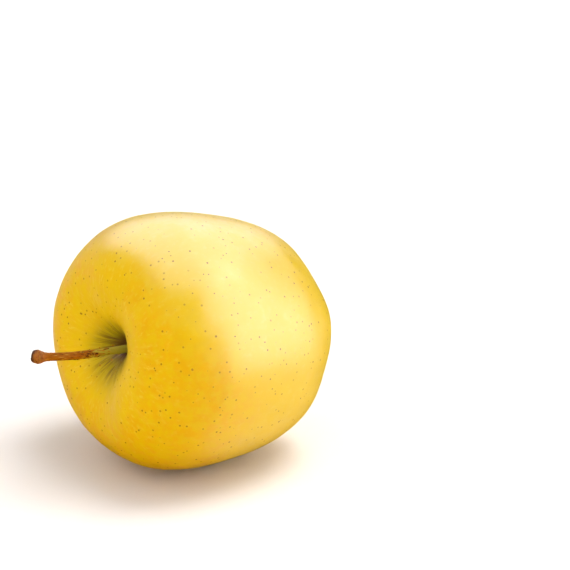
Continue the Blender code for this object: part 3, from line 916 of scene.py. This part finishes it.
class FRUIT_OT_add_calyx(Operator):
    """Adds the dried calyx: its button, five sepals and the stamens"""

    bl_idname = "fruit.add_calyx"
    bl_label = "Add Calyx"

    def execute(self, context):
        settings = context.scene.fruit_calyx
        basin = basin_matrix(context.scene.fruit_skin)
        tissue = calyx_material(settings, context.scene.fruit_skin)

        bm = bmesh.new()
        self.add_button(bm)
        for index in range(SEPAL_COUNT):
            self.add_sepal(bm, settings, index)
        bmesh.ops.transform(bm, matrix=basin, verts=bm.verts)
        piece = finished_piece("calyx_sepals", bm, tissue)
        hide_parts("calyx")
        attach(piece, "root")

        bm = bmesh.new()
        draw = random.Random(STAMEN_SEED)
        for index in range(settings.stamens):
            place = index + draw.uniform(-STAMEN_STAGGER, STAMEN_STAGGER)
            self.add_stamen(bm, 2 * math.pi * place / settings.stamens, draw)
        bmesh.ops.transform(bm, matrix=basin, verts=bm.verts)
        piece = finished_piece("calyx_stamens", bm, tissue)
        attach(piece, "root")
        return {"FINISHED"}

    def add_button(self, bm):
        """The lumpy domed disc that carries the sepals."""
        levels = [(BUTTON_RADIUS, -BUTTON_ROOT)]
        for step in range(BUTTON_STEPS):
            rise = math.pi / 2 * step / BUTTON_STEPS
            level = BUTTON_RIM + BUTTON_DOME * math.sin(rise)
            levels.append((BUTTON_RADIUS * math.cos(rise), level))
        rings = []
        for radius, level in levels:
            ring = []
            for side in range(BUTTON_SIDES):
                point = around(radius, 2 * math.pi * side / BUTTON_SIDES, level)
                point.z += BUTTON_LUMP_HEIGHT * noise.noise(point / BUTTON_LUMP_WIDTH)
                ring.append(point)
            rings.append(ring)
        top = BUTTON_RIM + BUTTON_DOME
        close_rings(bm, rings, Vector((0, 0, -BUTTON_ROOT)), Vector((0, 0, top)))

    def add_sepal(self, bm, settings, index):
        """A thin wavy blade with raised veins, which narrows to a tip and curls outward."""
        place = index + UNEVEN_TURN * math.sin(3 * index)
        turn = Matrix.Rotation(RIB_AT + 2 * math.pi * place / SEPAL_COUNT, 3, "Z")
        curl = 1 + UNEVEN_CURL * math.sin(2 * index + 1)
        grids = []
        for face in (1, -1):
            grid = []
            for step in range(SEPAL_STEPS + 1):
                share = step / SEPAL_STEPS
                middle = sepal_middle(settings, share, curl)
                slope = (sepal_middle(settings, share + SLOPE_STEP, curl) - middle).normalized()
                taper = (1 + SEPAL_BELLY * share) * (1 - share**SEPAL_TAPER_FALL)
                half_width = SEPAL_HALF_WIDTH * taper + SEPAL_TIP_HALF_WIDTH
                half_thickness = SEPAL_THICKNESS / 2 * (1 - SEPAL_THINNING * share)
                row = []
                for column in range(SEPAL_ACROSS + 1):
                    across = 2 * column / SEPAL_ACROSS - 1
                    wave = math.sin(WRINKLE_WAVES * share + WRINKLE_SLANT * across + index)
                    cup = (SEPAL_CUP * across**2 + SEPAL_WRINKLE * wave) * share
                    vein = VEIN_HEIGHT * math.cos(VEIN_WAVES * across) * (1 - share)
                    lift = face * (half_thickness * (1 - SEPAL_THINNING * across**2) + vein) + cup
                    sway = SEPAL_SWAY * share * math.sin(SWAY_WAVES * share + index)
                    point = Vector(
                        (
                            middle.x - slope.y * lift,
                            across * half_width + sway,
                            middle.y + slope.x * lift,
                        )
                    )
                    row.append(turn @ point)
                grid.append(row)
            grids.append(grid)
        join_blade(bm, *grids)

    def add_stamen(self, bm, phi, draw):
        """A bent thread with a dried anther at its tip."""
        height = STAMEN_HEIGHT * draw.uniform(STAMEN_SHORTEST, STAMEN_LONGEST)
        lean = draw.uniform(STAMEN_LEAST_LEAN, STAMEN_MOST_LEAN)
        twist = draw.uniform(-STAMEN_TWIST, STAMEN_TWIST)
        rings = []
        for step in range(STAMEN_STEPS + 1):
            share = step / STAMEN_STEPS
            middle = around(
                STAMEN_RING + lean * share**2, phi + twist * share**2, BUTTON_RIM + height * share
            )
            radius = STAMEN_RADIUS + ANTHER_RADIUS * bump(share - ANTHER_AT, ANTHER_LENGTH, 2)
            angles = (2 * math.pi * side / STAMEN_SIDES for side in range(STAMEN_SIDES))
            rings.append([middle + around(radius, angle) for angle in angles])
        start, end = (sum(ring, Vector()) / STAMEN_SIDES for ring in (rings[0], rings[-1]))
        close_rings(bm, rings, start, end)


# The photograph's camera, fitted to the fruit's outline in its 570 by 570 pixels
PHOTO_PIXELS = 570
SENSOR_MM = 36
FOCAL_PIXELS = 2156.3
CAMERA_DISTANCE = 0.610
CAMERA_ELEVATION = math.radians(20)
CAMERA_TURN = math.radians(53.26)
FRUIT_PIXEL = (191.63, 338.86)
CLIP_START = 0.01

SOFTBOX_DISTANCE = 0.8
FLOOR_REACH, FLOOR_DROP = 6, 0.00003


def camera_axes():
    """The camera's directions in the world: right, up, and back from the fruit."""
    level = math.cos(CAMERA_ELEVATION)
    back = Vector(
        (
            -math.cos(CAMERA_TURN) * level,
            -math.sin(CAMERA_TURN) * level,
            math.sin(CAMERA_ELEVATION),
        )
    )
    right = Vector((0, 0, 1)).cross(back).normalized()
    return right, back.cross(right), back


def aimed(aim):
    """A lamp's direction in the world, from the photo's right, away from the camera, and up."""
    right = camera_axes()[0]
    away = Vector((0, 0, 1)).cross(right)
    return Matrix((right, away, (0, 0, 1))).transposed() @ Vector(aim)


class FRUIT_OT_add_stage(Operator):
    """Adds the pale floor, the soft light and the camera"""

    bl_idname = "fruit.add_stage"
    bl_label = "Add Stage"

    def execute(self, context):
        scene = context.scene
        scene.view_settings.view_transform = "Standard"
        lit = self.add_floor(scene.fruit_stage)
        self.add_surroundings(scene)
        self.add_suns(scene, lit)
        self.add_softboxes(scene)
        self.add_camera(scene)
        return {"FINISHED"}

    def add_floor(self, settings):
        """A pale floor for the camera, and a warm card in its place that lights the fruit."""
        lit = bpy.data.collections.new("lit by the floor light")
        for name, colour, drop in (
            ("floor", settings.floor, FLOOR_DROP),
            ("card", settings.card, 2 * FLOOR_DROP),
        ):
            bm = bmesh.new()
            bmesh.ops.create_grid(bm, x_segments=1, y_segments=1, size=FLOOR_REACH)
            bmesh.ops.translate(bm, vec=(0, 0, -drop), verts=bm.verts)
            paint, _, shader = new_material("matt " + name + " paint")
            shader.inputs["Base Color"].default_value = (*colour, 1)
            shader.inputs["Roughness"].default_value = 0.9
            shader.inputs["Specular IOR Level"].default_value = 0.1
            floor = finished_piece(name, bm, paint)
            floor.visible_camera = name == "floor"
            floor.visible_diffuse = name == "card"
            floor.visible_glossy = False
            floor.visible_shadow = False
            lit.objects.link(floor)
        return lit

    def add_surroundings(self, scene):
        """White surroundings for the camera alone: the lamps light the fruit."""
        world = bpy.data.worlds.new("white surroundings")
        world.use_nodes = True
        world.node_tree.nodes["Background"].inputs["Color"].default_value = (1, 1, 1, 1)
        scene.world = world
        world.cycles_visibility.diffuse = False
        world.cycles_visibility.glossy = False

    def add_suns(self, scene, lit):
        """Wide suns, which the gloss doesn't mirror. One of them lights only the floor."""
        settings = scene.fruit_stage
        for name, strength, width, aim, receivers in (
            ("room", settings.room, 178, (0.0, -0.10, 0.99), None),
            ("daylight", settings.daylight, 80, (-0.70, -0.45, 0.60), None),
            ("window light", settings.window, 70, (0.97, 0.0, 0.40), None),
            ("floor light", settings.floor_light, 35, (0.36, 0.10, 0.93), lit),
        ):
            lamp = bpy.data.lights.new(name, "SUN")
            lamp.energy = strength
            lamp.angle = math.radians(width)
            lamp.cycles.use_multiple_importance_sampling = False
            light = bpy.data.objects.new(name, lamp)
            light.rotation_euler = aimed(aim).to_track_quat("Z", "Y").to_euler()
            light.light_linking.receiver_collection = receivers
            light.visible_glossy = False
            scene.collection.objects.link(light)

    def add_softboxes(self, scene):
        """Softboxes that only the gloss mirrors. Sizes are in metres, and a roll is in degrees."""
        settings = scene.fruit_stage
        for name, brightness, size, aim, roll in (
            ("top softbox", settings.top_softbox, (1.46, 1.46), (-0.06, 0.47, 0.88), 10),
            ("side softbox", settings.side_softbox, (0.98, 1.2), (0.845, -0.135, 0.38), 0),
            ("low softbox", settings.low_softbox, (1.0, 1.0), (0.75, 0.10, -0.65), 0),
            ("back softbox", settings.back_softbox, (1.1, 0.7), (-0.37, 0.93, -0.25), 0),
        ):
            lamp = bpy.data.lights.new(name, "AREA")
            lamp.shape = "RECTANGLE"
            lamp.size, lamp.size_y = size
            lamp.energy = brightness * math.pi * size[0] * size[1]
            lamp.cycles.use_multiple_importance_sampling = False
            light = bpy.data.objects.new(name, lamp)
            direction = aimed(aim).normalized()
            light.location = Vector(scene.fruit_skin.centre) + SOFTBOX_DISTANCE * direction
            turn = direction.to_track_quat("Z", "Y") @ Quaternion((0, 0, 1), math.radians(roll))
            light.rotation_euler = turn.to_euler()
            light.visible_diffuse = False
            scene.collection.objects.link(light)

    def add_camera(self, scene):
        """The photograph's camera, which sees the fruit left of the middle and below it."""
        lens = bpy.data.cameras.new("camera")
        lens.sensor_width = SENSOR_MM
        lens.lens = FOCAL_PIXELS / PHOTO_PIXELS * SENSOR_MM
        lens.clip_start = CLIP_START
        camera = bpy.data.objects.new("camera", lens)
        scene.collection.objects.link(camera)
        right, up, back = camera_axes()
        metres_per_pixel = CAMERA_DISTANCE / FOCAL_PIXELS
        across = (PHOTO_PIXELS / 2 - FRUIT_PIXEL[0]) * metres_per_pixel
        down = (PHOTO_PIXELS / 2 - FRUIT_PIXEL[1]) * metres_per_pixel
        place = Vector(scene.fruit_skin.centre) + back * CAMERA_DISTANCE
        place += right * across - up * down
        turn = Matrix((right, up, back)).transposed().to_4x4()
        camera.matrix_world = Matrix.Translation(place) @ turn
        scene.camera = camera


class FRUIT_PT_panel(Panel):
    """Lists the fruit's pieces and the stage"""

    bl_idname = "FRUIT_PT_panel"
    bl_label = "Whole Yellow Apple"
    bl_space_type = "VIEW_3D"
    bl_region_type = "UI"
    bl_category = "Fruit"

    def draw(self, context):
        for operator in OPERATORS:
            self.layout.operator(operator.bl_idname)


OPERATORS = (FRUIT_OT_add_skin, FRUIT_OT_add_stem, FRUIT_OT_add_calyx, FRUIT_OT_add_stage)
SETTINGS = {
    "fruit_skin": FruitSkinSettings,
    "fruit_stem": StemSettings,
    "fruit_calyx": CalyxSettings,
    "fruit_stage": StageSettings,
}


def register():
    for group in SETTINGS.values():
        bpy.utils.register_class(group)
    for name, group in SETTINGS.items():
        setattr(bpy.types.Scene, name, PointerProperty(type=group))
    for item in (*OPERATORS, FRUIT_PT_panel):
        bpy.utils.register_class(item)


def unregister():
    for item in (FRUIT_PT_panel, *reversed(OPERATORS)):
        bpy.utils.unregister_class(item)
    for name, group in SETTINGS.items():
        delattr(bpy.types.Scene, name)
        bpy.utils.unregister_class(group)


def main():
    register()
    bpy.ops.fruit.add_skin()
    bpy.ops.fruit.add_stem()
    bpy.ops.fruit.add_calyx()
    bpy.ops.fruit.add_stage()


if __name__ == "__main__":
    main()
